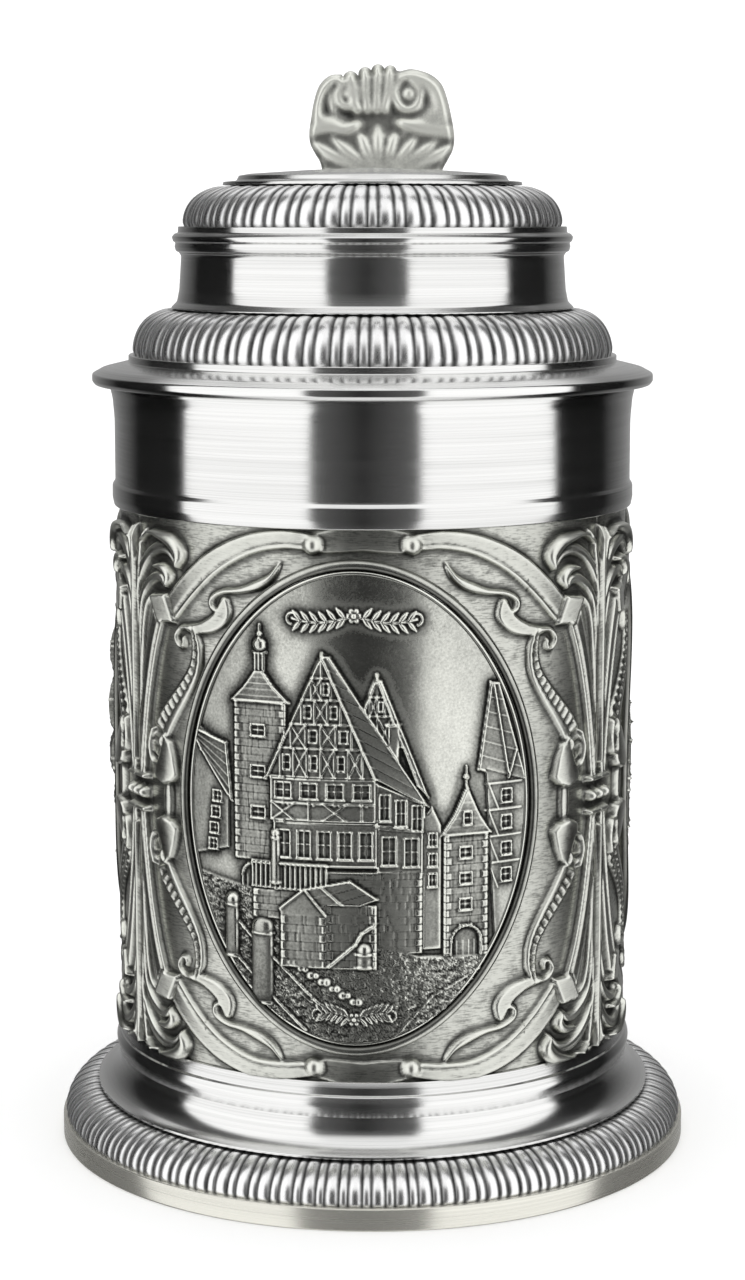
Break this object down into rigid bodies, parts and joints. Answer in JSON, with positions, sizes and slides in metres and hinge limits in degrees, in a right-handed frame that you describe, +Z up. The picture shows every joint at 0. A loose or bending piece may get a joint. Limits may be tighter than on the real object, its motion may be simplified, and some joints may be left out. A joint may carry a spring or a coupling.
{
  "type": "lidded tankard",
  "caption": "Lidded pewter tankard: gadrooned flared foot, relief panels with oval scenes, ear-shaped handle, and a hinged stepped lid with a scrolled thumblift.",
  "frame": {"origin": "centre of the ring that the foot stands on, on the turning axis", "axes": "+Z up along the turning axis, -Y towards the front medallion, +Y towards the handle and hinge, +X to the right as seen from the front"},
  "size_m": [0.106, 0.141, 0.1813],
  "materials": {
    "turned_pewter": "lathe-turned bright pewter with fine circular brush lines",
    "foot_pewter": "light satin pewter",
    "gadroon_pewter": "bright lobes with darkened grooves",
    "relief_pewter": "antiqued grey cast relief, bright on its raised edges and dark in its recesses",
    "medallion_pewter": "dark glossy antiqued cast relief",
    "bezel_pewter": "polished round wire",
    "cast_pewter": "cast pewter, antiqued in its recesses"
  },
  "bodies": {
    "mug": {"barrel": "turned_pewter", "base_plate": "turned_pewter", "foot_cove": "turned_pewter", "rim_band": "turned_pewter", "foot_rim": "foot_pewter", "foot_gadroon_ring": "gadroon_pewter", "relief_panel_front": "relief_pewter", "relief_panel_left": "relief_pewter", "relief_panel_right": "relief_pewter", "medallion_front": "medallion_pewter", "medallion_left": "medallion_pewter", "medallion_right": "medallion_pewter", "bezel_front": "bezel_pewter", "bezel_left": "bezel_pewter", "bezel_right": "bezel_pewter", "handle": "cast_pewter", "handle_plate": "cast_pewter", "hinge_block": "cast_pewter", "hinge_pin": "cast_pewter", "hinge_pin_heads": "cast_pewter"},
    "lid": {"lid_flange": "turned_pewter", "lid_seat_ring": "turned_pewter", "lid_lower_gadroon": "gadroon_pewter", "lid_collar": "turned_pewter", "lid_bead_ring": "turned_pewter", "lid_upper_gadroon": "gadroon_pewter", "lid_cap": "turned_pewter", "lid_strap": "cast_pewter", "thumblift": "cast_pewter"}
  },
  "joints": [
    {"name": "lid_hinge", "type": "hinge", "parent": "mug", "child": "lid", "pos_m": [0, 0.051, 0.127], "axis": [-1, 0, 0], "range_deg": [0, 110]}
  ]
}
